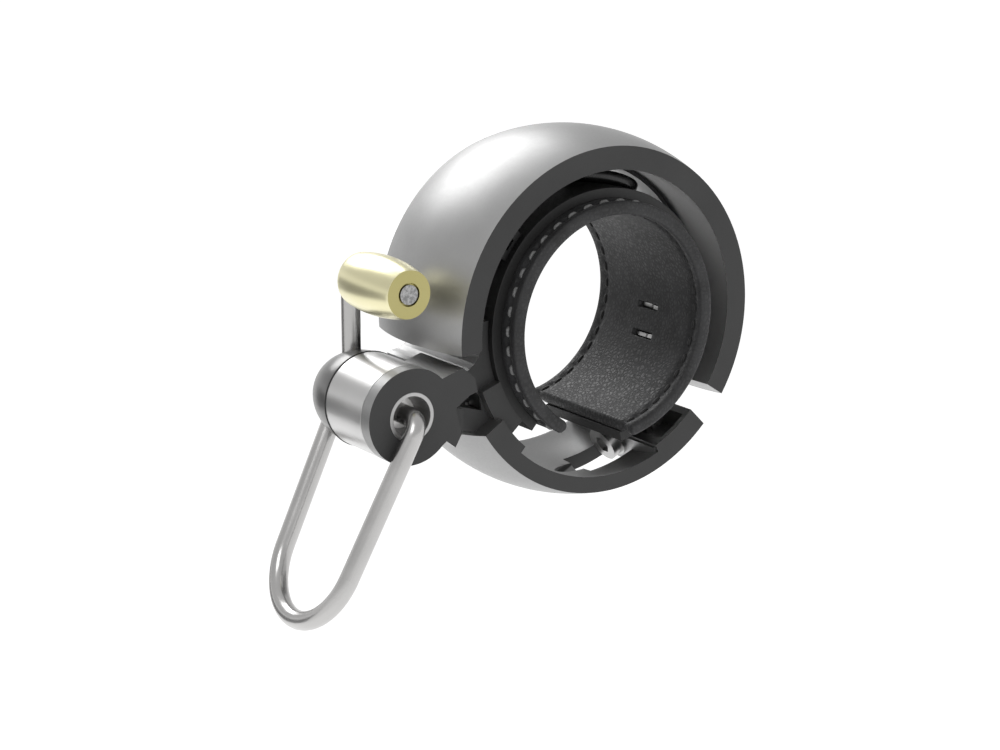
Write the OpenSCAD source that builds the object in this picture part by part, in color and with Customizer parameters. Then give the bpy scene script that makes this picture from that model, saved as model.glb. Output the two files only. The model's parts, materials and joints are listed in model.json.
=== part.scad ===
// Bicycle bell: an open ring that closes round a handlebar, with a sprung striker beside it.
// Millimetres. The origin is the centre of the handlebar bore, +X runs along the handlebar,
// +Z is up, and the striker is on the -Y side. Angles go round +X, from +Y towards +Z.

/* [Handlebar clamp] */
// Diameter of the handlebar that the liner closes round
bar_d = 31.8; // [31.6:0.1:32]
// Thickness of the leather liner
liner_t = 1.95; // [1.9:0.05:2]
// Width of the leather liner along the handlebar
liner_w = 25.8; // [24:0.2:25.2]
// Width of the plastic band round the liner
band_w = 19; // [18.4:0.2:19.4]
// Thickness of the plastic band
band_t = 1.55; // [1.5:0.05:1.6]

/* [Ring] */
// Width of the ring along the handlebar
ring_w = 22.3; // [22:0.1:22.5]
// Outer radius of the ring at its flat faces
face_r = 25.65; // [25.6:0.05:25.8]
// Outer radius of the ring at mid-width
crown_r = 27.5; // [27.4:0.05:27.6]
// Inner radius of the sounder
sounder_r = 22.2; // [22.1:0.05:22.3]
// Wall of the cradle below the handlebar
cradle_wall = 2.3; // [2.2:0.05:2.4]

/* [Striker] */
// Distance of the striker barrel behind the handlebar centre
barrel_y = 33.8; // [33.7:0.1:34]
// Drop of the striker barrel below the handlebar centre
barrel_z = 9.14; // [9.1:0.02:9.2]
// Radius of the striker barrel
barrel_r = 6.9; // [6.8:0.05:7]
// Height of the hammer axis above the barrel axis
hammer_rise = 17.2; // [17:0.1:17.4]
// Diameter of the lever and hammer wires
wire_d = 2.8; // [2.7:0.05:2.85]
// Reach of the lever loop from the barrel axis to the wire's centre at the bottom
lever_reach = 32.4; // [31:0.2:33]
// Lean of the lever from straight down, in degrees
lever_lean = 27; // [20:1:30]

/* [Clamp screw] */
// Thread diameter of the clamp screw
bolt_d = 3; // [2.9:0.05:3]
// Slope of the clamp screw above level, in degrees
bolt_slope = 28; // [27:0.5:29]

/* [Hidden] */
$fn = 96;
eps = 0.01;
// A wire's straight runs reach this far into its bends, and are this much thinner
lap = 0.05;
lap_step = 0.008;
far_cut = 60;

// Radii from the inside out
liner_r = bar_d / 2;
band_r = liner_r + liner_t;
spine_in_r = band_r + band_t;
spine_out_r = spine_in_r + 1.1;
ring_half = ring_w / 2;

// The ring's outer face is one arc across its width
bulge = crown_r - face_r;
bulge_r = (ring_half * ring_half + bulge * bulge) / (2 * bulge);

// Where each arc of the ring and the strap starts and ends, in degrees
sounder_a0 = -33;
sounder_end_z = -1.67;
cradle_a0 = 212.5;
cradle_a1 = 315;
root_a1 = 222;
step_a = 228;
block_a0 = 294;
liner_a0 = -79;
liner_a1 = 238;
band_a0 = -79;
band_a1 = 230;

// Sounder: a narrow land at mid-width, hollowed either side
land_half = 1.7;
relief_depth = 0.5;
sounder_corner_r = 1;

// Cradle details
root_r = sounder_r - 0.1;
block_r = 22;
arm_half = 9.6;
arm_near_x = 8.4;
tongue_near_x = 10.2;
spine_top_z = 2.1;
housing_screw_x = 3;
housing_screw_z = -11.2;
hollow_x0 = 5.2;
shelf_z = -5;
fillet_r = 4;

// Striker: places along X, measured from the ring's middle
flange_x0 = 9;
sleeve_x0 = -0.7;
sleeve_in_r = 5.6;
sleeve_a0 = 46;
sleeve_a1 = 314;
washer_x0 = -1.05;
hub_x1 = -1.2;
hub_x0 = -9.15;
hub_r = 6.75;
hub_crown_r = 11;
spring_x0 = 2.2;
spring_x1 = 7.2;
cavity_r = 4.6;
bush_r = 3.55;
bush_shoulder_x = 8;
funnel_r = 3;
far_bush_r = 3.2;
spindle_r = 2.3;
spindle_x0 = -6;
spindle_x1 = 7.9;
socket_x0 = 2.5;
fit_gap = 0.05;
wire_r = wire_d / 2;

// Lever: a U in a plane through the barrel axis, drawn in (x, distance from that axis)
near_leg_x = 13.05;
far_leg_x = -7.6;
near_bend_r = 2.2;
loop_r = 9.1;
leg_top_q = 2.35;
loop_x = (near_leg_x + far_leg_x) / 2;
loop_q = lever_reach - loop_r;
near_bend_x = near_leg_x - near_bend_r;
loop_offset = [loop_x - near_bend_x, loop_q - near_bend_r];
leg_tilt = atan2(loop_offset[1], loop_offset[0])
    - acos((near_bend_r - loop_r) / norm(loop_offset));

// Hammer and its rod
rod_x = -5.2;
rod_bend_r = 2.4;
hammer_x0 = -4.5;
hammer_x1 = 10.7;
hammer_r = 4.3;
hammer_face_r = 3.4;
hammer_fat_x = 3.1;
hammer_arc_r = (pow(hammer_x1 - hammer_fat_x, 2) + pow(hammer_r - hammer_face_r, 2))
    / (2 * (hammer_r - hammer_face_r));
pin_hole_r = 1.67;
pin_hole_depth = 0.9;

// Torsion spring
spring_wire_r = 0.35;
spring_r = 3.4;
spring_turns = 5;
spring_pitch = 0.82;
spring_start_x = 2.7;

// Clamp screw: s runs along its axis from the crossbar's far face, t points to the centre
screw_y = 10.9;
screw_z = -20.5;
crossbar_t = 1.9;
bolt_r = bolt_d / 2;
head_r = 2.75;
head_h = 1.7;
hex_flat = 2.5;
screw_washer_r = 3.1;
screw_washer_t = 0.5;
shank_s1 = 5;
pocket_s1 = 5.3;
pocket_half = 10.3;
hook_s0 = 1;
hook_t = 1;
hook_half = 5.5;
nut_w = 5.5;
nut_t = 1.6;
lug_s0 = 0.1;
lug_s1 = 0.9;
window_half = 3.6;
window_s0 = -9.5;
key_bore_r = 1.7;

// Grommet and side bumper: the soft parts between the band and the sounder
grommet_a = 74.5;
grommet_len = 13.4;
grommet_half = 5.5;
grommet_rim_r = 21.4;
bumper_a0 = 134.5;
bumper_a1 = 147.5;
bumper_half = 8.3;

// Turns a child that is drawn round +Z so that it lies round +X
module about_x() rotate([90, 0, 90]) children();

// Sweeps a (radius, x) outline round +X from angle a0 to angle a1
module sector(a0, a1) about_x() rotate([0, 0, a0]) rotate_extrude(angle = a1 - a0) children();

// Extrudes a (y, z) outline along +X
module slab(x0, x1) translate([x0, 0, 0]) about_x() linear_extrude(x1 - x0) children();

// A rod or tube along +X, with its axis at the barrel
module at_barrel() translate([0, -barrel_y, -barrel_z]) children();
module rod_x(x0, x1, r) translate([x0, 0, 0]) rotate([0, 90, 0]) cylinder(h = x1 - x0, r = r);
module tube_x(x0, x1, r_out, r_in) difference() {
    rod_x(x0, x1, r_out);
    rod_x(x0 - 1, x1 + 1, r_in);
}

// The clamp screw's own frame: +X stays, +Y runs along the screw, +Z points to the centre
module at_screw() translate([0, screw_y, screw_z]) rotate([bolt_slope, 0, 0]) children();
module rod_s(s0, s1, r) translate([0, s0, 0]) rotate([-90, 0, 0]) cylinder(h = s1 - s0, r = r);
module block(x_half, s0, s1, t0, t1)
    translate([-x_half, s0, t0]) cube([2 * x_half, s1 - s0, t1 - t0]);

// The ring's cross-section outside radius r_in
module ring_profile(r_in) intersection() {
    translate([r_in, -ring_half]) square([crown_r - r_in + 1, ring_w]);
    translate([crown_r - bulge_r, 0]) circle(r = bulge_r, $fn = 256);
}

// The cross-section of a wall of even thickness that follows the ring's arc
module wall_profile() difference() {
    ring_profile(face_r - 4);
    translate([crown_r - bulge_r, 0]) circle(r = bulge_r - cradle_wall, $fn = 256);
}

// ---- sounder and what holds it ----

// Half of the hollow inside the sounder, from its land out to one face
module relief_profile() {
    hollow_r = 45;
    mid = (land_half + ring_half) / 2;
    intersection() {
        translate([sounder_r - 1, land_half]) square([3, ring_half - land_half + 1]);
        translate([sounder_r + relief_depth + 0.05 - hollow_r, mid - 2.4])
            circle(r = hollow_r, $fn = 256);
    }
}

module sounder_profile() difference() {
    ring_profile(sounder_r);
    relief_profile();
    mirror([0, 1]) relief_profile();
}

module sounder() color([0.36, 0.36, 0.37]) difference() {
    sector(sounder_a0, 196) sounder_profile();
    // the level cut over the striker's arm
    translate([-far_cut / 2, -far_cut, -far_cut + sounder_end_z])
        cube([far_cut, far_cut - 5, far_cut]);
    // the rounded inner corner of that end
    corner_y = -sqrt(pow(sounder_r, 2) - pow(sounder_end_z, 2));
    slab(-far_cut / 2, far_cut / 2) difference() {
        translate([corner_y - sounder_corner_r, sounder_end_z - 1])
            square([sounder_corner_r + 2, sounder_corner_r + 1]);
        translate([corner_y - sounder_corner_r, sounder_end_z + sounder_corner_r])
            circle(r = sounder_corner_r);
    }
    // the blind hole for its screw
    rotate([grommet_a - 90, 0, 0]) cylinder(h = sounder_r + 3.4, r = 1);
}

// A rounded oblong that stands on the band, long way round the ring
module oblong(half_w, length, r0, r1)
    rotate([grommet_a - 90, 0, 0]) translate([0, 0, r0]) linear_extrude(r1 - r0)
        union() {
            for (s = [-1, 1]) translate([0, s * (length / 2 - half_w)]) circle(r = half_w);
            translate([-half_w, half_w - length / 2]) square([2 * half_w, length - 2 * half_w]);
        }

module sounder_grommet() color([0.05, 0.05, 0.05]) difference() {
    union() {
        difference() {
            oblong(grommet_half, grommet_len, spine_in_r - 3, grommet_rim_r + 2);
            rod_x(-far_cut, far_cut, spine_in_r);
            difference() {
                rod_x(-far_cut, far_cut, far_cut);
                rod_x(-far_cut, far_cut, grommet_rim_r);
            }
        }
        difference() {
            oblong(land_half, 9, grommet_rim_r - 1.2, sounder_r + 1);
            difference() {
                rod_x(-far_cut, far_cut, far_cut);
                rod_x(-far_cut, far_cut, sounder_r);
            }
        }
    }
    rotate([grommet_a - 90, 0, 0]) cylinder(h = far_cut, r = 1.05);
}

module sounder_screw() color([0.7, 0.7, 0.7]) difference() {
    rotate([grommet_a - 90, 0, 0]) union() {
        translate([0, 0, band_r + 0.1]) cylinder(h = 0.9, r = 2.2);
        translate([0, 0, band_r + 0.5]) cylinder(h = sounder_r + 2.7 - band_r, r = 1);
    }
    rotate([grommet_a - 90, 0, 0]) translate([0, 0, band_r])
        cylinder(h = 0.7, r = 0.75, $fn = 6);
}

module side_bumper() color([0.05, 0.05, 0.05]) {
    lug = 4;
    for (a = [bumper_a0, bumper_a1 - lug])
        sector(a, a + lug) translate([spine_in_r, -bumper_half])
            square([1.9, 2 * bumper_half]);
    sector(bumper_a0 + 1, bumper_a1 - 1) translate([spine_in_r, -bumper_half])
        square([0.5, 2 * bumper_half]);
}

// ---- strap ----

module liner() color([0.08, 0.08, 0.085]) difference() {
    sector(liner_a0, liner_a1) translate([liner_r, -liner_w / 2]) square([liner_t, liner_w]);
    for (a = [-6, -22]) staple_shape(a, 0.12);
}

// A staple that holds the leather to the band: its crown lies along X in the bore
module staple_shape(a, slack) rotate([a - 90, 0, 0]) {
    translate([-2.35 - slack, -0.35 - slack, liner_r - 1])
        cube([4.7 + 2 * slack, 0.7 + 2 * slack, 1.75]);
    for (s = [-1, 1]) translate([s * 2 - 0.35 - slack, -0.35 - slack, liner_r])
        cube([0.7 + 2 * slack, 0.7 + 2 * slack, liner_t + band_t - 0.4]);
}

module liner_staples() color([0.75, 0.75, 0.75]) difference() {
    for (a = [-6, -22]) staple_shape(a, 0);
    rod_x(-far_cut, far_cut, liner_r + 0.25);
}

module strap_band() color([0.07, 0.07, 0.07]) difference() {
    union() {
        sector(band_a0, band_a1) translate([band_r, -band_w / 2]) square([band_t, band_w]);
        // two lugs that the clamp hook pulls on
        difference() {
            at_screw() for (s = [-1, 1]) translate([s * 3.9, 0, 0])
                block(1.5, lug_s0, lug_s1, 1.1, 5);
            rod_x(-far_cut, far_cut, spine_in_r - 0.6);
        }
    }
    for (a = [-6, -22]) staple_shape(a, 0);
    rotate([grommet_a - 90, 0, 0]) {
        cylinder(h = far_cut, r = 1.05);
        cylinder(h = band_r + 1, r = 2.25);
    }
    for (x = [-6, 6]) rivet_axis(x) cylinder(h = far_cut, r = 1);
    for (x = [-6, 6]) rivet_axis(x) cylinder(h = band_r + 0.6, r = 2);
}

module rivet_axis(x) translate([x, 0, 0]) rotate([207 - 90, 0, 0]) children();

module band_rivets() color([0.72, 0.72, 0.72]) for (x = [-6, 6]) rivet_axis(x) {
    translate([0, 0, band_r + 0.05]) cylinder(h = 0.55, r = 1.95);
    translate([0, 0, band_r + 0.4]) cylinder(h = 4, r = 1);
}

// ---- base ----

// The arm from the cradle's root out to the striker housing, seen along X
module arm_outline() polygon(concat(
    [[-17, spine_top_z], [-spine_out_r + 0.1, spine_top_z]],
    [for (a = [0 : 15 : 90]) [-spine_out_r - fillet_r * (1 - cos(a)),
                              shelf_z + fillet_r * (1 - sin(a))]],
    [[-25.2, shelf_z - 0.3], [-25.2, -12.95], [-21.6, -13.8], [-18, -12]]
));

// The wedge on the arm's end that fits the housing's fork
module tongue_outline() polygon([[-24.8, -7.7], [-26.6, -8.97], [-25.67, -12.83], [-24.8, -12.6]]);

// The striker housing's fork, with its root at the barrel axis
module fork_outline() polygon([
    [-barrel_y, -barrel_z], [-28.84, -4.35], [-25.46, -3.29], [-23.37, -5.01], [-22.95, -7.04],
    [-24.26, -7.41], [-26.6, -8.97], [-25.67, -12.83], [-26.71, -14.61], [-28.17, -13.46],
    [-28.88, -13.98]
]);

// The screw from inside the strap, through the arm, into the housing
module at_housing_screw() translate([housing_screw_x, 0, housing_screw_z])
    rotate([90, 0, 0]) children();

module base_cradle() color([0.33, 0.33, 0.34]) difference() {
    union() {
        sector(cradle_a0, cradle_a1) wall_profile();
        sector(cradle_a0, step_a) ring_profile(root_r);
        sector(block_a0, cradle_a1) ring_profile(block_r);
        sector(200, root_a1) translate([spine_in_r - 1, 0.2 - arm_half])
            square([root_r - spine_in_r + 1.5, 2 * arm_half]);
        slab(-arm_half, arm_near_x) arm_outline();
        slab(0.2, tongue_near_x) tongue_outline();
        at_screw() crossbar();
    }
    // room for the housing's fork
    slab(0.2, ring_w) difference() {
        fork_outline();
        translate([-50, -50]) square([21, 100]);
    }
    // the hollow between the fork's wings
    slab(hollow_x0, ring_w) polygon([[-26.7, -8.97], [-24.3, -7], [-22.6, -6.8], [-20.9, -8.6],
                             [-20.5, -10.8]]);
    at_screw() {
        // the window that the screw head sits in, and the slanting way in for its key
        block(window_half, window_s0, -crossbar_t, -9, 4);
        rod_s(-25, window_s0 + 1, key_bore_r);
        rod_s(-crossbar_t - 1, 1, bolt_r + fit_gap);
        // the pocket for the hook and the nut
        block(pocket_half, 0, pocket_s1, -1.6, 9);
        block(3.4, 0, pocket_s1, -3.05, 0);
    }
    rod_x(-far_cut, far_cut, spine_in_r);
    at_housing_screw() {
        cylinder(h = 30, r = 1.25);
        cylinder(h = 21.2, r = 2.4);
    }
    for (x = [-6, 6]) rivet_axis(x) cylinder(h = band_r + 4.4, r = 1);
}

// The bar across the cradle that carries the clamp screw
module crossbar() {
    block(pocket_half + 0.5, -crossbar_t, 0, -1.9, 0.9);
    block(3.4, -crossbar_t, 0, -3.3, 2.2);
}

module housing_screw() color([0.7, 0.7, 0.7]) at_housing_screw() difference() {
    union() {
        translate([0, 0, 19.7]) cylinder(h = 1.5, r = 2.2);
        translate([0, 0, 20.5]) cylinder(h = 7.2, r = 1.25);
    }
    translate([0, 0, 19]) cylinder(h = 1.6, r = 1, $fn = 6);
}

// ---- striker barrel ----

module striker_housing() color([0.32, 0.32, 0.33]) difference() {
    union() {
        slab(0.2, ring_half) fork_outline();
        at_barrel() {
            rod_x(flange_x0, ring_half, barrel_r);
            rod_x(sleeve_x0 + 0.1, flange_x0 + 0.5, sleeve_in_r);
        }
    }
    at_barrel() {
        rod_x(spring_x0, spring_x1, cavity_r);
        rod_x(spring_x1 - 0.5, ring_w, bush_r);
        rod_x(-ring_w, spring_x0 + 0.5, far_bush_r);
    }
    at_housing_screw() cylinder(h = 27.7, r = 1.25);
}

module barrel_sleeve() color([0.78, 0.78, 0.78]) at_barrel()
    sector(sleeve_a0, sleeve_a1) translate([sleeve_in_r, sleeve_x0])
        square([barrel_r - sleeve_in_r, flange_x0 - sleeve_x0 - 0.12]);

module near_bush() color([0.6, 0.6, 0.6]) at_barrel() difference() {
    rod_x(spring_x1, ring_half, bush_r);
    rod_x(spring_x1 - 1, bush_shoulder_x, spindle_r + fit_gap);
    translate([bush_shoulder_x - eps, 0, 0]) rotate([0, 90, 0])
        cylinder(h = ring_half - bush_shoulder_x + 2 * eps, r1 = spindle_r + fit_gap, r2 = funnel_r);
}

module far_bush() color([0.72, 0.6, 0.35]) at_barrel()
    tube_x(sleeve_x0, spring_x0, far_bush_r, spindle_r + fit_gap);

module seam_washer() color([0.04, 0.04, 0.04]) at_barrel()
    tube_x(washer_x0, sleeve_x0, barrel_r - 0.1, spindle_r + fit_gap);

// One ring of points round the spring's wire, at angle a round the coil
function coil_ring(a, n) = [for (k = [0 : n - 1])
    let (b = 360 * k / n, r = spring_r + spring_wire_r * cos(b))
    [spring_start_x + spring_pitch * a / 360 + spring_wire_r * sin(b), r * cos(a), r * sin(a)]];

module torsion_spring() color([0.65, 0.65, 0.65]) at_barrel() {
    sides = 8;
    steps = 20 * spring_turns;
    rings = [for (i = [0 : steps]) each coil_ring(360 * spring_turns * i / steps, sides)];
    walls = [for (i = [0 : steps - 1], k = [0 : sides - 1])
        [i * sides + k, i * sides + (k + 1) % sides,
         (i + 1) * sides + (k + 1) % sides, (i + 1) * sides + k]];
    polyhedron(rings, concat([[for (k = [sides - 1 : -1 : 0]) k]], walls,
        [[for (k = [0 : sides - 1]) steps * sides + k]]));
}

// ---- striker ----

module spindle() color([0.75, 0.75, 0.75]) at_barrel() difference() {
    rod_x(spindle_x0, spindle_x1, spindle_r);
    rod_x(socket_x0 - lap, spindle_x1 + 1, wire_r);
}

module retaining_ring() color([0.5, 0.5, 0.5]) at_barrel() difference() {
    tube_x(spring_x1 - 0.5, spring_x1 - 0.1, spring_r - spring_wire_r - 0.3, spindle_r);
    translate([0, -1.2, -5]) cube([ring_w, 2.4, 5]);
}

module hub() color([0.72, 0.72, 0.72]) difference() {
    at_barrel() intersection() {
        about_x() rotate_extrude() intersection() {
            translate([0, hub_x0]) square([hub_r, hub_x1 - hub_x0]);
            union() {
                translate([hub_r - hub_crown_r, -1.9]) circle(r = hub_crown_r, $fn = 256);
                translate([0, -1.9]) square([hub_r, 1]);
            }
        }
    }
    at_barrel() rod_x(spindle_x0, 5, spindle_r);
    hammer_rod_shape();
    lever_wire_shape();
}

// A straight wire and a bent wire in the plane (x, q); the plane is then turned round the barrel
module wire_line(p, q) translate([p[0], p[1], 0])
    rotate([0, 0, atan2(q[1] - p[1], q[0] - p[0])]) rotate([0, 90, 0])
        translate([0, 0, -lap]) cylinder(h = norm(q - p) + 2 * lap, r = wire_r - lap_step);
module wire_bend(c, r, a0, a1) translate([c[0], c[1], 0]) rotate([0, 0, a0])
    rotate_extrude(angle = a1 - a0) translate([r, 0]) circle(r = wire_r, $fn = 48);

module hammer_rod_shape() at_barrel() rotate([90, 0, 0]) {
    bend_q = hammer_rise - rod_bend_r;
    wire_line([rod_x, spindle_r + lap], [rod_x, bend_q]);
    wire_bend([rod_x + rod_bend_r, bend_q], rod_bend_r, 90, 180);
    wire_line([rod_x + rod_bend_r, hammer_rise], [hammer_x1 - 0.05, hammer_rise]);
}
module hammer_rod() color([0.74, 0.74, 0.74]) hammer_rod_shape();

module lever_wire_shape() at_barrel() rotate([270 - lever_lean, 0, 0]) {
    a = leg_tilt;
    near_top = [near_bend_x + near_bend_r * cos(a), near_bend_r + near_bend_r * sin(a)];
    near_low = [loop_x + loop_r * cos(a), loop_q + loop_r * sin(a)];
    far_low = [loop_x - loop_r * cos(a), loop_q + loop_r * sin(a)];
    far_top = far_low + [-sin(a), -cos(a)] * (far_low[1] - leg_top_q) / cos(a);
    wire_line([socket_x0, 0], [near_bend_x, 0]);
    wire_bend([near_bend_x, near_bend_r], near_bend_r, -90, a);
    wire_line(near_top, near_low);
    wire_bend([loop_x, loop_q], loop_r, a, 180 - a);
    wire_line(far_low, far_top);
}
module lever_wire() color([0.74, 0.74, 0.74]) lever_wire_shape();

module hammer() color([0.83, 0.78, 0.5]) difference() {
    at_barrel() translate([0, 0, hammer_rise]) about_x() rotate_extrude() intersection() {
        translate([0, hammer_x0]) square([hammer_r, hammer_x1 - hammer_x0]);
        translate([hammer_r - hammer_arc_r, hammer_fat_x]) circle(r = hammer_arc_r, $fn = 256);
        union() {
            translate([0, hammer_x0 + hammer_r]) circle(r = hammer_r);
            translate([0, hammer_x0 + hammer_r]) square([hammer_r, ring_w]);
        }
    }
    at_barrel() translate([0, 0, hammer_rise])
        rod_x(hammer_x1 - pin_hole_depth, ring_w, pin_hole_r);
    hammer_rod_shape();
}

// ---- clamp screw ----

module clamp_bolt() color([0.68, 0.68, 0.68]) at_screw() {
    head_s = -crossbar_t - screw_washer_t;
    difference() {
        union() {
            rod_s(head_s - head_h, head_s, head_r);
            rod_s(head_s - 0.5, shank_s1, bolt_r);
        }
        translate([0, head_s - head_h - 1, 0]) rotate([-90, 0, 0])
            cylinder(h = 2.1, d = hex_flat / cos(30), $fn = 6);
    }
}

module bolt_washer() color([0.7, 0.7, 0.7]) at_screw() difference() {
    rod_s(-crossbar_t - screw_washer_t, -crossbar_t, screw_washer_r);
    rod_s(-5, 1, bolt_r + fit_gap);
}

module clamp_hook() color([0.6, 0.6, 0.6]) at_screw() difference() {
    union() {
        block(hook_half, hook_s0, hook_s0 + hook_t, -1.2, 3.1);
        block(3, hook_s0, hook_s0 + hook_t, -2.7, 3.1);
    }
    rod_s(0, 5, bolt_r + 0.35);
}

module clamp_nut() color([0.7, 0.7, 0.7]) at_screw() difference() {
    block(nut_w / 2, hook_s0 + hook_t, hook_s0 + hook_t + nut_t, -nut_w / 2, nut_w / 2);
    rod_s(0, 5, bolt_r + fit_gap);
}

base_cradle();
striker_housing();
barrel_sleeve();
near_bush();
far_bush();
seam_washer();
torsion_spring();
housing_screw();
strap_band();
band_rivets();
liner();
liner_staples();
sounder();
sounder_grommet();
sounder_screw();
side_bumper();
spindle();
retaining_ring();
hub();
hammer_rod();
hammer();
lever_wire();
clamp_bolt();
bolt_washer();
clamp_hook();
clamp_nut();
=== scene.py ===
"""Bicycle bell: the looks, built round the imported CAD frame. Lengths are in metres."""

import json
import math

import bmesh
import bpy
from mathutils import Matrix, Vector


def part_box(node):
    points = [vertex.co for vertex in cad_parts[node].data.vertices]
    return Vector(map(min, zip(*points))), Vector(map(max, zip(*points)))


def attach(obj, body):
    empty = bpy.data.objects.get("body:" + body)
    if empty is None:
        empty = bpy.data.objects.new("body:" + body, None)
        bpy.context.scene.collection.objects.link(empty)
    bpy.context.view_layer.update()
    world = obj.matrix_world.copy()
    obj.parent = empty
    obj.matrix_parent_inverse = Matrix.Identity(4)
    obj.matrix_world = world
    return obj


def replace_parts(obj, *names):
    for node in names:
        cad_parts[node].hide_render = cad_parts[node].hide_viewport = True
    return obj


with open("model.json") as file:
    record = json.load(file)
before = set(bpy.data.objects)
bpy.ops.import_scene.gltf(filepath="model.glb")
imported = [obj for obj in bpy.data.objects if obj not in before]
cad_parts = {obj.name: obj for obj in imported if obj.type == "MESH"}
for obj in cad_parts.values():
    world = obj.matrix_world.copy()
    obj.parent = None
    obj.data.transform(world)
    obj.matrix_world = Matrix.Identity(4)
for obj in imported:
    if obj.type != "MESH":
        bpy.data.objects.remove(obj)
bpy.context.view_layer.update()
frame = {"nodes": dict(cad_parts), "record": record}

MM = 0.001
NODES = frame["nodes"]


# ---- places read from the frame ----

RING_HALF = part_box("sounder")[1][0]
LINER_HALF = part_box("liner")[1][0]
LINER_OUT_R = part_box("liner")[1][2]
BAR_R = frame["record"]["mounts"][0]["dims"]["r_mm"] * MM
BAND_OUT_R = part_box("strap_band")[1][2]


# ---- camera ----

def set_camera():
    """A long lens, a little above the ring and to its open side."""
    turn, rise = math.radians(55.92), math.radians(14.45)
    right = Vector((math.cos(turn), math.sin(turn), 0))
    back = Vector((math.sin(turn) * math.cos(rise), -math.cos(turn) * math.cos(rise), math.sin(rise)))
    up = back.cross(right)
    target = Vector((RING_HALF, 0, 0))
    distance = 0.3149
    rightward, upward = -0.0159, -0.00771
    data = bpy.data.cameras.new("camera")
    data.lens = 78.1
    data.sensor_width = 36
    data.clip_start, data.clip_end = 0.01, 20
    camera = bpy.data.objects.new("camera", data)
    bpy.context.scene.collection.objects.link(camera)
    turned = Matrix((right, up, back)).transposed().to_4x4()
    turned.translation = target + right * rightward + up * upward + back * distance
    camera.matrix_world = turned
    bpy.context.scene.camera = camera


# ---- small helpers for materials ----

class Nodes:
    """A material's node tree, with short calls for the nodes that these materials use."""

    def __init__(self, name):
        self.material = bpy.data.materials.new(name)
        self.material.use_nodes = True
        self.tree = self.material.node_tree
        self.shader = self.tree.nodes["Principled BSDF"]

    def add(self, kind, **values):
        node = self.tree.nodes.new(kind)
        for key, value in values.items():
            setattr(node, key, value)
        return node

    def put(self, socket, value):
        """Links a socket's output to an input, or sets the input's constant."""
        if isinstance(value, bpy.types.NodeSocket):
            self.tree.links.new(value, socket)
        else:
            socket.default_value = value

    def set(self, **values):
        for key, value in values.items():
            self.put(self.shader.inputs[key.replace("_", " ")], value)

    def where(self, scale=(1, 1, 1)):
        """Object coordinates in metres, scaled along each axis."""
        node = self.add("ShaderNodeMapping")
        self.put(node.inputs["Vector"], self.add("ShaderNodeTexCoord").outputs["Object"])
        self.put(node.inputs["Scale"], scale)
        return node.outputs["Vector"]

    def noise(self, vector, scale, detail=2.0, rough=0.5):
        node = self.add("ShaderNodeTexNoise")
        self.put(node.inputs["Vector"], vector)
        self.put(node.inputs["Scale"], scale)
        self.put(node.inputs["Detail"], detail)
        self.put(node.inputs["Roughness"], rough)
        return node.outputs["Fac"]

    def math(self, operation, a, b=0.0, clamp=False):
        node = self.add("ShaderNodeMath", operation=operation, use_clamp=clamp)
        self.put(node.inputs[0], a)
        self.put(node.inputs[1], b)
        return node.outputs[0]

    def span(self, value, low, high, to_low=0.0, to_high=1.0, smooth=True):
        """Maps value from low..high to to_low..to_high, clamped."""
        node = self.add("ShaderNodeMapRange", interpolation_type="SMOOTHSTEP" if smooth else "LINEAR")
        for socket, number in zip(node.inputs[1:5], (low, high, to_low, to_high)):
            self.put(socket, number)
        self.put(node.inputs[0], value)
        return node.outputs[0]

    def mix(self, share, a, b):
        node = self.add("ShaderNodeMix", data_type="RGBA")
        self.put(node.inputs[0], share)
        self.put(node.inputs[6], a)
        self.put(node.inputs[7], b)
        return node.outputs[2]

    def axis(self, vector, index):
        node = self.add("ShaderNodeSeparateXYZ")
        self.put(node.inputs[0], vector)
        return node.outputs[index]

    def bump(self, height, distance, strength=1.0, under=None):
        node = self.add("ShaderNodeBump")
        self.put(node.inputs["Height"], height)
        self.put(node.inputs["Distance"], distance)
        self.put(node.inputs["Strength"], strength)
        if under is not None:
            self.put(node.inputs["Normal"], under)
        return node.outputs["Normal"]

    def object_normal_x(self):
        """How far the surface faces along the handlebar: 1 or -1 on the flat faces."""
        node = self.add("ShaderNodeTexCoord")
        return self.axis(node.outputs["Normal"], 0)


def grey(value, warm=0.0):
    return (value * (1 + warm), value, value * (1 - warm), 1)


# ---- materials ----

# a surface counts as flat, facing along the bar, between these values of its normal's x
FLAT_FROM, FLAT_FULL = 0.93, 0.985


def ring_metal(name, side, face):
    """Satin anodised metal: light round the outside, dark on the machined flat faces."""
    n = Nodes(name)
    flat = n.span(n.math("ABSOLUTE", n.object_normal_x()), FLAT_FROM, FLAT_FULL)
    cloud = n.noise(n.where(), 90, 3)
    fine = n.noise(n.where(), 2600, 3)
    around = n.noise(n.where((5200, 260, 260)), 1, 2)
    light = n.mix(n.span(cloud, 0.3, 0.7), grey(side * 0.95), grey(side * 1.05))
    dark = n.mix(n.span(cloud, 0.3, 0.7), grey(face * 0.93), grey(face * 1.07))
    n.set(
        Base_Color=n.mix(flat, light, dark),
        Metallic=n.span(flat, 0, 1, 1.0, 0.0),
        Roughness=n.math("ADD", n.span(flat, 0, 1, 0.42, 0.5), n.span(fine, 0.3, 0.7, -0.03, 0.03)),
        Normal=n.bump(n.math("ADD", fine, around), 2e-6, 0.5),
    )
    n.set(Specular_IOR_Level=0.25)
    return n.material


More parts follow.
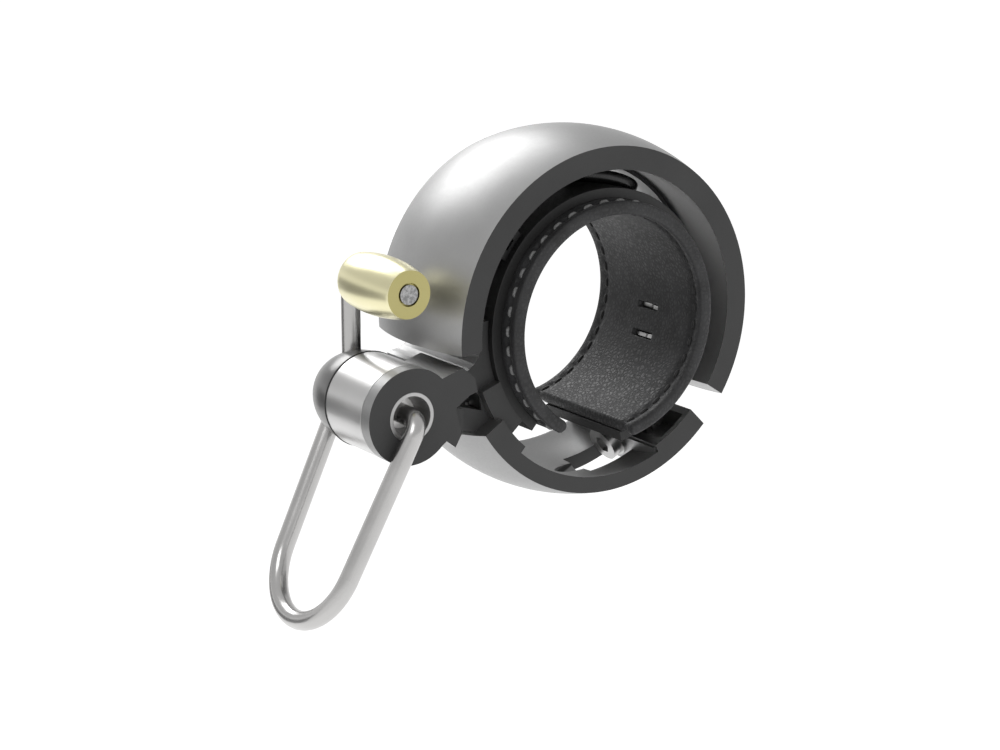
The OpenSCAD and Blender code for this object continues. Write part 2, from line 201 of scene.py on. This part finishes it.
def polished_steel(name, colour, rough, grain=(300, 5000, 5000), warm=0.006, end=None):
    """Drawn or turned steel; end, if given, is the grey of a sawn end that faces along the bar."""
    n = Nodes(name)
    lines = n.noise(n.where(grain), 1, 2)
    cloud = n.noise(n.where(), 160, 2)
    tone = n.mix(n.span(cloud, 0.3, 0.7), grey(colour * 0.94, warm), grey(colour, warm))
    if end is not None:
        sawn = n.mix(n.span(n.noise(n.where(), 2400, 3), 0.35, 0.65), grey(end * 0.7), grey(end * 1.3))
        tone = n.mix(n.span(n.object_normal_x(), 0.998, 0.9998), tone, sawn)
    n.set(
        Base_Color=tone,
        Metallic=1.0,
        Roughness=n.span(n.math("ADD", lines, cloud), 0.7, 1.3, rough - 0.02, rough + 0.03),
        Normal=n.bump(lines, 6e-7, 0.12),
    )
    return n.material


def brass(name):
    """Pale satin brass, with faint turning lines round the body and a plain turned face."""
    n = Nodes(name)
    turned = n.noise(n.where((6000, 200, 200)), 1, 2)
    cloud = n.noise(n.where(), 240, 2)
    flat = n.span(n.object_normal_x(), FLAT_FROM, FLAT_FULL)
    tone = n.mix(flat, (0.76, 0.72, 0.47, 1), (0.42, 0.38, 0.165, 1))
    n.set(
        Base_Color=n.mix(n.span(cloud, 0.3, 0.7, 0, 0.08), tone, (0.55, 0.49, 0.27, 1)),
        Metallic=1.0,
        Roughness=n.span(turned, 0.3, 0.7, 0.28, 0.30),
        Normal=n.bump(turned, 5e-7, 0.06),
    )
    return n.material


def leather(name):
    """Black full-grain leather: small pebbles, fine creases between them, and a soft sheen."""
    n = Nodes(name)
    where = n.where()
    cells = n.add("ShaderNodeTexVoronoi", feature="DISTANCE_TO_EDGE")
    warp = n.add("ShaderNodeVectorMath", operation="ADD")
    wobble = n.add("ShaderNodeTexNoise")
    n.put(wobble.inputs["Vector"], where)
    n.put(wobble.inputs["Scale"], 900)
    spread = n.add("ShaderNodeVectorMath", operation="SCALE")
    n.put(spread.inputs[0], wobble.outputs["Color"])
    n.put(spread.inputs["Scale"], 0.0006)
    n.put(warp.inputs[0], where)
    n.put(warp.inputs[1], spread.outputs[0])
    n.put(cells.inputs["Vector"], warp.outputs[0])
    n.put(cells.inputs["Scale"], 1500)
    pebble = n.span(cells.outputs["Distance"], 0.0, 0.35)
    fine = n.noise(where, 5000, 3)
    broad = n.noise(where, 260, 3)
    n.set(
        Base_Color=n.mix(
            n.span(broad, 0.35, 0.65), (0.007, 0.007, 0.0075, 1), (0.017, 0.017, 0.018, 1)
        ),
        Roughness=n.math("ADD", n.span(pebble, 0, 1, 0.66, 0.5), n.span(fine, 0.3, 0.7, -0.05, 0.05)),
        Normal=n.bump(fine, 6e-6, 0.5, n.bump(pebble, 3.5e-5, 0.8)),
    )
    n.set(Specular_IOR_Level=0.5, Sheen_Weight=0.05, Sheen_Roughness=0.4)
    return n.material


def plastic(name, tone, rough):
    """Black moulded plastic or rubber with a very fine grain."""
    n = Nodes(name)
    grain = n.noise(n.where(), 4200, 2)
    cloud = n.noise(n.where(), 220, 2)
    n.set(
        Base_Color=n.mix(n.span(cloud, 0.3, 0.7), grey(tone), grey(tone * 1.5)),
        Roughness=n.span(grain, 0.3, 0.7, rough - 0.05, rough + 0.06),
        Normal=n.bump(grain, 6e-6, 0.6),
    )
    return n.material


def thread(name, tone):
    """Twisted sewing thread."""
    n = Nodes(name)
    twist = n.noise(n.where(), 3800, 2)
    n.set(
        Base_Color=n.mix(n.span(twist, 0.35, 0.65), grey(tone * 0.6), grey(tone)),
        Roughness=0.6,
        Normal=n.bump(twist, 3e-5, 0.7),
    )
    return n.material


def paint(node, material):
    """Gives a CAD node its material in every slot."""
    obj = NODES[node]
    if not obj.data.materials:
        obj.data.materials.append(material)
    for slot in obj.material_slots:
        slot.material = material


def soften(node, width, segments=3):
    """A small round on a CAD node's sharp edges, as the real part has."""
    weld = NODES[node].modifiers.new("joined_faces", "WELD")
    weld.merge_threshold = 0.002 * MM
    bevel = NODES[node].modifiers.new("soft_edges", "BEVEL")
    bevel.width = width
    bevel.segments = segments
    bevel.limit_method = "ANGLE"
    bevel.angle_limit = math.radians(40)
    even = NODES[node].modifiers.new("even_shading", "WEIGHTED_NORMAL")
    even.keep_sharp = True


# ---- stage ----

def make_stage():
    """A pale seamless floor."""
    reach, level = 60.0, -0.42
    mesh = bpy.data.meshes.new("floor")
    mesh.from_pydata(
        [(-reach, -reach, level), (reach, -reach, level), (reach, reach, level), (-reach, reach, level)],
        [], [(0, 1, 2, 3)],
    )
    floor = bpy.data.objects.new("floor", mesh)
    bpy.context.scene.collection.objects.link(floor)
    n = Nodes("floor_white")
    n.set(Base_Color=grey(0.92), Roughness=0.95, Emission_Color=grey(1.0), Emission_Strength=0.42)
    mesh.materials.append(n.material)


def panel(name, toward, distance, size, shade=None, power=None):
    """A studio panel facing the bell that the camera doesn't see: a lamp, or a dark card."""
    place = Vector(toward).normalized() * distance
    turn = (-place).to_track_quat("-Z", "Y").to_matrix().to_4x4()
    turn.translation = place
    if power is not None:
        data = bpy.data.lights.new(name, "AREA")
        data.shape = "RECTANGLE"
        data.size, data.size_y = size
        data.energy = power
    else:
        data = bpy.data.meshes.new(name)
        wide, high = size[0] / 2, size[1] / 2
        data.from_pydata(
            [(-wide, -high, 0), (wide, -high, 0), (wide, high, 0), (-wide, high, 0)], [], [(0, 1, 2, 3)]
        )
        n = Nodes(name)
        n.set(Base_Color=grey(shade), Roughness=0.9)
        data.materials.append(n.material)
    obj = bpy.data.objects.new(name, data)
    obj.matrix_world = turn
    obj.visible_camera = False
    bpy.context.scene.collection.objects.link(obj)
    if power is None:
        obj.visible_shadow = False
        obj.visible_diffuse = False


def set_light():
    """A white room, a soft box high behind the ring, and a dark card low on the hammer's side."""
    world = bpy.data.worlds.new("studio")
    bpy.context.scene.world = world
    world.use_nodes = True
    tree = world.node_tree
    back = tree.nodes["Background"]
    where = tree.nodes.new("ShaderNodeTexCoord")
    split = tree.nodes.new("ShaderNodeSeparateXYZ")
    ramp = tree.nodes.new("ShaderNodeMapRange")
    tree.links.new(where.outputs["Generated"], split.inputs[0])
    tree.links.new(split.outputs["Z"], ramp.inputs[0])
    for socket, number in zip(ramp.inputs[1:5], (0.10, 0.24, 1.0, 0.68)):
        socket.default_value = number
    tree.links.new(ramp.outputs[0], back.inputs["Strength"])
    back.inputs["Color"].default_value = (1, 1, 1, 1)
    panel("soft_box", (-0.80, 0.055, 0.60), 0.9, (0.62, 0.44), power=3.6)
    panel("low_card", (-0.80, -0.60, -0.20), 0.7, (0.6, 0.26), shade=0.25)
    panel("key", (0.35, -0.75, 0.75), 0.9, (0.4, 0.4), power=1.5)
    bpy.context.scene.view_settings.view_transform = "Standard"


# ---- pieces that the CAD has only as plain solids ----

LINER_FROM, LINER_TO = math.radians(-79), math.radians(238)
LEATHER_ROUND = 0.62 * MM

STITCH_PITCH = 2.6 * MM
STITCH_LONG = 1.55 * MM
STITCH_INSET = 1.95 * MM
THREAD_R = 0.24 * MM
# the leather beside a row of stitches is pulled in this wide and deep, and deeper at the holes
PULL_WIDE, PULL_DEEP, HOLE_DEEP = 0.55 * MM, 0.18 * MM, 0.22 * MM

STAPLE_TURNS = (math.radians(-6), math.radians(-22))
SLOT_HALF_X, SLOT_HALF, SLOT_DEEP = 2.45 * MM, 0.5 * MM, 1.2 * MM


def spot(x, r, turn):
    """A point at place x along the handlebar, radius r and angle turn from +Y towards +Z."""
    return Vector((x, r * math.cos(turn), r * math.sin(turn)))


def circle(count):
    """Evenly spaced angles round a full turn."""
    return [2 * math.pi * k / count for k in range(count)]


def add_ring(bm, points):
    return [bm.verts.new(point) for point in points]


def skin(bm, rings, capped=True):
    """Faces between each ring of vertices and the next, and over the two ends if capped."""
    for ring, after in zip(rings, rings[1:]):
        for k in range(len(ring)):
            m = (k + 1) % len(ring)
            bm.faces.new((ring[k], ring[m], after[m], after[k]))
    if capped:
        bm.faces.new(rings[0])
        bm.faces.new(rings[-1])


def new_piece(name, bm, body, material):
    """A smooth-shaded object made from bm, riding on a body and tied to a material slot."""
    mesh = bpy.data.meshes.new(name)
    bmesh.ops.recalc_face_normals(bm, faces=bm.faces)
    bm.to_mesh(mesh)
    bm.free()
    for face in mesh.polygons:
        face.use_smooth = True
    obj = bpy.data.objects.new(name, mesh)
    bpy.context.scene.collection.objects.link(obj)
    mesh.materials.append(material)
    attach(obj, body)
    return obj


def stitch_turns():
    """The angle at the middle of each stitch of a row, evenly spaced."""
    count = round((LINER_TO - LINER_FROM) * BAR_R / STITCH_PITCH)
    step = (LINER_TO - LINER_FROM) / count
    return [LINER_FROM + step * (i + 0.5) for i in range(count)]


def dent(x, turn, turns, row):
    """How far a row of stitches pulls the leather in at (x, turn): most at the stitches' ends."""
    across = (abs(x) - row) / PULL_WIDE
    if abs(across) > 2.5:
        return 0.0
    step = turns[1] - turns[0]
    along = ((turn - turns[0]) / step + 0.5) % 1.0
    hole = math.exp(-(min(along, 1 - along) / 0.2) ** 2)
    return math.exp(-across * across) * (PULL_DEEP + HOLE_DEEP * hole)


def liner_outline():
    """The strip's cross-section, as (x, r, side), with its four corners rolled over."""
    across, corner_steps = 74, 5
    flat = LINER_HALF - LEATHER_ROUND
    low, high = BAR_R + LEATHER_ROUND, LINER_OUT_R - LEATHER_ROUND

    def corner(x, r, start):
        turns = [start + k * math.pi / 2 / corner_steps for k in range(1, corner_steps)]
        return [(x + LEATHER_ROUND * math.cos(a), r + LEATHER_ROUND * math.sin(a), "edge") for a in turns]

    xs = [flat * (2 * i / across - 1) for i in range(across + 1)]
    return (
        [(x, BAR_R, "in") for x in xs]
        + corner(flat, low, -math.pi / 2)
        + [(LINER_HALF, low, "edge"), (LINER_HALF, high, "edge")]
        + corner(flat, high, 0)
        + [(x, LINER_OUT_R, "out") for x in reversed(xs)]
        + corner(-flat, high, math.pi / 2)
        + [(-LINER_HALF, high, "edge"), (-LINER_HALF, low, "edge")]
        + corner(-flat, low, math.pi)
    )


def liner_turns():
    """Angles along the strip, with the nearest ones moved onto the slots' sides."""
    steps = 430
    turns = [LINER_FROM + (LINER_TO - LINER_FROM) * i / steps for i in range(steps + 1)]
    for middle in STAPLE_TURNS:
        for side in (-1, 1):
            target = middle + side * SLOT_HALF / BAR_R
            nearest = min(range(steps + 1), key=lambda i: abs(turns[i] - target))
            turns[nearest] = target
    return turns


def cut_slots(bm, rings, turns, outline):
    """Takes the faces over the two slots out of the bore, and gives the slots walls and floors."""
    reach = SLOT_HALF / BAR_R + 1e-6
    gone = []
    for i, (low, high) in enumerate(zip(turns, turns[1:])):
        if not any(low > t - reach and high < t + reach for t in STAPLE_TURNS):
            continue
        for j in range(len(outline) - 1):
            (x, _, side), (next_x, _, next_side) = outline[j], outline[j + 1]
            if side == next_side == "in" and max(abs(x), abs(next_x)) < SLOT_HALF_X:
                around = set(rings[i][j].link_faces) & set(rings[i + 1][j + 1].link_faces)
                gone.append(around.pop())
    bmesh.ops.delete(bm, geom=gone, context="FACES")
    rims = [e for e in bm.edges if e.is_boundary]
    made = bmesh.ops.extrude_edge_only(bm, edges=rims)["geom"]
    for v in (g for g in made if isinstance(g, bmesh.types.BMVert)):
        v.co += Vector((0, v.co.y, v.co.z)).normalized() * SLOT_DEEP
    bmesh.ops.holes_fill(bm, edges=[e for e in bm.edges if e.is_boundary], sides=0)


def make_liner(material):
    """The leather strip: rolled edges, pulled in along its stitches, slotted for the staples."""
    row = LINER_HALF - STITCH_INSET
    middle_r = (BAR_R + LINER_OUT_R) / 2
    thinnest = 0.45
    stitches = stitch_turns()
    outline = liner_outline()
    turns = liner_turns()
    bm = bmesh.new()
    rings = []
    for turn in turns:
        # the strip gets thinner, as a rounded edge does, over the last stretch at each end
        left = min(turn - LINER_FROM, LINER_TO - turn) * middle_r
        full = 1.0
        if left < LEATHER_ROUND:
            full = math.sqrt(max(0.0, 1 - (1 - left / LEATHER_ROUND) ** 2))
        share = thinnest + (1 - thinnest) * full
        points = []
        for x, r, side in outline:
            pull = dent(x, turn, stitches, row) if side != "edge" else 0.0
            r = r + pull if side == "in" else r - pull
            points.append(spot(x, middle_r + (r - middle_r) * share, turn))
        rings.append(add_ring(bm, points))
    skin(bm, rings)
    cut_slots(bm, rings, turns, outline)
    bmesh.ops.triangulate(bm, faces=[f for f in bm.faces if len(f.verts) > 4])
    liner = new_piece("leather_liner", bm, "base", material)
    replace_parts(liner, "liner")


def make_stitches(name, row_x, radius, outward, material):
    """A row of thread stitches that lie on the leather, each dipping into it at both ends."""
    sides, steps = 8, 8
    end_gap = 1.2 * MM
    proud, dip = 0.02 * MM, 0.26 * MM
    thinning, flattening = 0.35, 1.25
    way = 1 if outward else -1
    bm = bmesh.new()
    for turn in stitch_turns():
        if min(turn - LINER_FROM, LINER_TO - turn) * radius < end_gap:
            continue
        rings = []
        for i in range(steps + 1):
            along = i / steps * 2 - 1
            angle = turn + along * STITCH_LONG / 2 / radius
            centre_r = radius + way * (proud - dip * along ** 4)
            thick = THREAD_R * (1 - thinning * along ** 4)
            rings.append(add_ring(bm, (
                spot(row_x + thick * flattening * math.cos(a), centre_r + thick * math.sin(a), angle)
                for a in circle(sides)
            )))
        skin(bm, rings)
    new_piece(name, bm, "base", material)


def make_staples(material):
    """Two flat staples, sunk in their slots and rising towards the open end of the bell."""
    half_x, half_w, thick, steps = 2.3 * MM, 0.33 * MM, 0.3 * MM, 12
    deepest, rise, bend_x, sharpness = 0.67 * MM, 0.5 * MM, 0.7 * MM, 5 / MM
    bm = bmesh.new()
    for turn in STAPLE_TURNS:
        rings = []
        for i in range(steps + 1):
            x = -half_x + 2 * half_x * i / steps
            low = BAR_R + deepest - rise / (1 + math.exp(-(x - bend_x) * sharpness))
            corners = ((-1, low), (1, low), (1, low + thick), (-1, low + thick))
            rings.append(add_ring(bm, (spot(x, r, turn + side * half_w / BAR_R) for side, r in corners)))
        skin(bm, rings)
    staples = new_piece("staple_crowns", bm, "base", material)
    bevel = staples.modifiers.new("rounded", "BEVEL")
    bevel.width, bevel.segments = 0.07 * MM, 3
    bevel.limit_method, bevel.angle_limit = "ANGLE", math.radians(40)
    return staples


def make_seam(material):
    """The rubber ring between the sleeve and the hub, standing just proud of both."""
    cord_r, sunk, around, sides = 0.24 * MM, 0.55, 96, 12
    low, high = (Vector(corner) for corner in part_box("seam_washer"))
    middle_x, barrel_y, barrel_z = (low + high) / 2
    rim_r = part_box("barrel_sleeve")[1][2] - barrel_z
    bm = bmesh.new()
    rings = []
    for turn in circle(around):
        points = []
        for a in circle(sides):
            x, r = middle_x + cord_r * math.cos(a), rim_r - cord_r * sunk + cord_r * math.sin(a)
            points.append((x, barrel_y + r * math.cos(turn), barrel_z + r * math.sin(turn)))
        rings.append(add_ring(bm, points))
    skin(bm, rings + rings[:1], capped=False)
    new_piece("seam_ring", bm, "base", material)


def make_grommet(material):
    """The rubber oblong between the band and the sounder: a plump pill that follows the ring."""
    around, layers = 64, 18
    turn_mid, half_len, sounder_in_r, bend_r = math.radians(74.5), 6.7 * MM, 21.4 * MM, 19.9 * MM
    half_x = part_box("sounder_grommet")[1][0] - 0.05 * MM
    gap, tuck, straight = 0.02 * MM, 1.15 * MM, half_len - half_x
    bm = bmesh.new()
    rings = []
    for i in range(layers + 1):
        rise = i / layers
        # a rounded profile: full width in the middle of the height, drawn in at the top and bottom
        bulge = (1 - abs(2 * rise - 1) ** 3.2) ** (1 / 2.2) if 0 < rise < 1 else 0.0
        end_r = half_x - (1 - bulge) * tuck
        r = BAND_OUT_R + gap + (sounder_in_r - BAND_OUT_R - 2 * gap) * rise
        points = []
        for a in circle(around):
            c, sn = math.cos(a), math.sin(a)
            y = (straight if sn > 0 else -straight) * min(1.0, abs(sn) * 8) + end_r * sn
            points.append(spot(end_r * c, r, turn_mid + y / bend_r))
        rings.append(add_ring(bm, points))
    skin(bm, rings)
    return new_piece("grommet_pill", bm, "base", material)


set_camera()
make_stage()
set_light()

SOUNDER = ring_metal("sounder_metal", 0.36, 0.040)
CRADLE = ring_metal("cradle_metal", 0.30, 0.040)
STEEL = polished_steel("steel", 0.50, 0.24, warm=0.012)
ROD = polished_steel("rod_steel", 0.44, 0.24, warm=0.012, end=0.3)
SLEEVE = polished_steel("sleeve_steel", 0.55, 0.3)
HUB = polished_steel("hub_steel", 0.2, 0.3)
BUSH = polished_steel("bush_metal", 0.46, 0.42, grain=(40, 400, 400))
PLATED = polished_steel("plated_steel", 0.42, 0.3)
BRASS = brass("brass")
LEATHER = leather("leather")
PLASTIC = plastic("band_plastic", 0.007, 0.5)
RUBBER = plastic("rubber", 0.006, 0.2)
DARK_RUBBER = plastic("seam_rubber", 0.004, 0.6)
THREAD = thread("black_thread", 0.004)
# the outside stitches' thread is painted light grey: a painted highlight on the raised thread, where the
# inside stitches are black
THREAD_PAINTED_HIGHLIGHT = thread("thread_painted_highlight", 0.16)

LOOKS = {
    "sounder": SOUNDER, "base_cradle": CRADLE, "striker_housing": CRADLE, "hammer": BRASS,
    "liner": LEATHER, "strap_band": PLASTIC, "side_bumper": PLASTIC, "sounder_grommet": RUBBER,
    "seam_washer": DARK_RUBBER, "barrel_sleeve": SLEEVE, "hub": HUB, "hammer_rod": ROD,
    "near_bush": BUSH, "far_bush": BUSH, "bolt_washer": PLATED,
    "clamp_bolt": PLATED, "clamp_nut": PLATED, "clamp_hook": PLATED, "band_rivets": PLATED,
    "housing_screw": PLATED, "sounder_screw": PLATED,
}
for node in NODES:
    paint(node, LOOKS.get(node, STEEL))

make_liner(LEATHER)
make_seam(DARK_RUBBER)
row = LINER_HALF - STITCH_INSET
for side, radius, colour in (
    ("inside", BAR_R + 0.12 * MM, THREAD),
    # the outside rows take the light grey thread, a painted highlight on their raised stitches
    ("outside", LINER_OUT_R - 0.08 * MM, THREAD_PAINTED_HIGHLIGHT),
):
    for end, row_x in (("near", row), ("far", -row)):
        make_stitches(f"stitches_{side}_{end}", row_x, radius, side == "outside", colour)
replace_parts(make_staples(PLATED), "liner_staples")
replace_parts(make_grommet(RUBBER), "sounder_grommet")

# how wide each node's sharp edges are rounded, in millimetres
ROUNDS = {
    "sounder": 0.18, "base_cradle": 0.12, "striker_housing": 0.15, "strap_band": 0.25,
    "side_bumper": 0.3, "near_bush": 0.08, "hammer": 0.12, "clamp_bolt": 0.2,
    "clamp_hook": 0.1, "clamp_nut": 0.15, "barrel_sleeve": 0.06, "hub": 0.1,
}
for node, width in ROUNDS.items():
    soften(node, width * MM)
